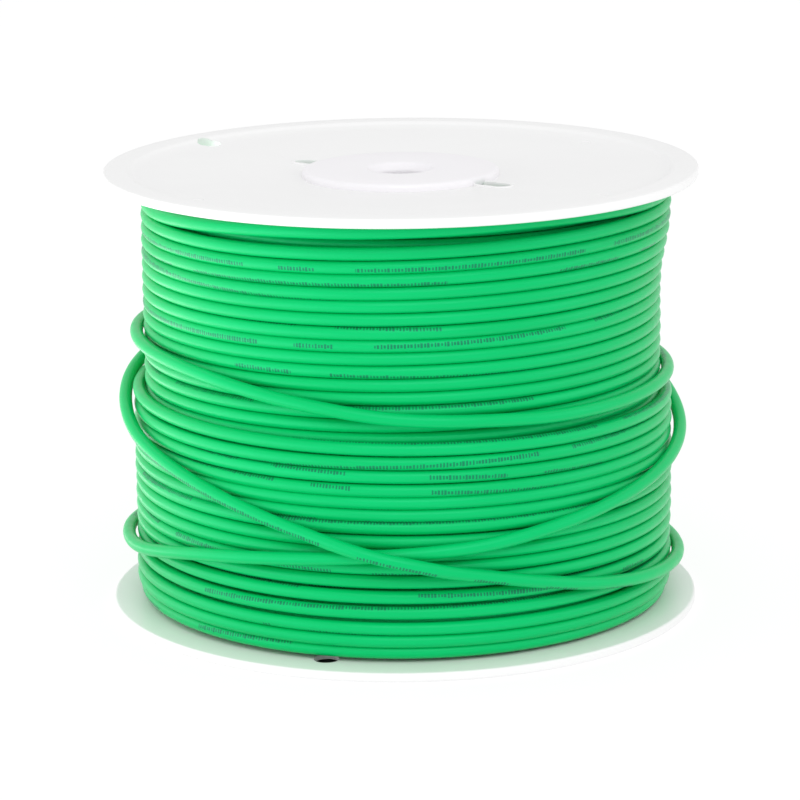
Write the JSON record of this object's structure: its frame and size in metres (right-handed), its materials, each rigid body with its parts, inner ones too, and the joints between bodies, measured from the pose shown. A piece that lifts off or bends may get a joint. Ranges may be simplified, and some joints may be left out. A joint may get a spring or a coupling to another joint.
{
  "type": "reel of screened data cable",
  "caption": "Moulded plastic reel standing on its flange, wound full with round screened data cable, with loose turns and a stripped free end.",
  "frame": {"origin": "on the surface that the reel stands on, on the reel's axis", "axes": "+Z along the reel's axis, upwards. -Y is the front, where the loose turns cross."},
  "size_m": [0.25, 0.2509, 0.188],
  "materials": {
    "flange_plastic": "satin moulded",
    "hub_plastic": "satin moulded",
    "cable_jacket": "satin extruded",
    "tinned_braid": "bright woven wire",
    "pair_foil": "bright foil",
    "bare_copper": "bright stranded wire",
    "insulation_blue": "smooth",
    "insulation_orange": "smooth",
    "insulation_green": "smooth",
    "insulation_brown": "smooth",
    "insulation_white": "smooth"
  },
  "bodies": {
    "root": {"upper_flange": "flange_plastic", "lower_flange": "flange_plastic", "upper_hub_cap": "hub_plastic", "lower_hub_cap": "hub_plastic", "barrel": "hub_plastic", "spindle_sleeve": "hub_plastic", "winding_layers_1_to_5": "cable_jacket", "winding_layers_6_to_8": "cable_jacket", "winding_layers_9_to_11": "cable_jacket", "winding_layer_12": "cable_jacket", "winding_layer_13": "cable_jacket", "winding_layer_14": "cable_jacket", "loose_turn_1": "cable_jacket", "loose_turn_2": "cable_jacket", "loose_turn_3": "cable_jacket", "end_jacket": "cable_jacket", "end_braid": "tinned_braid", "pair_foil_blue": "pair_foil", "insulation_blue": "insulation_blue", "insulation_white_blue": "insulation_white", "conductor_blue": "bare_copper", "conductor_white_blue": "bare_copper", "pair_foil_orange": "pair_foil", "insulation_orange": "insulation_orange", "insulation_white_orange": "insulation_white", "conductor_orange": "bare_copper", "conductor_white_orange": "bare_copper", "pair_foil_green": "pair_foil", "insulation_green": "insulation_green", "insulation_white_green": "insulation_white", "conductor_green": "bare_copper", "conductor_white_green": "bare_copper", "pair_foil_brown": "pair_foil", "insulation_brown": "insulation_brown", "insulation_white_brown": "insulation_white", "conductor_brown": "bare_copper", "conductor_white_brown": "bare_copper"}
  },
  "joints": []
}
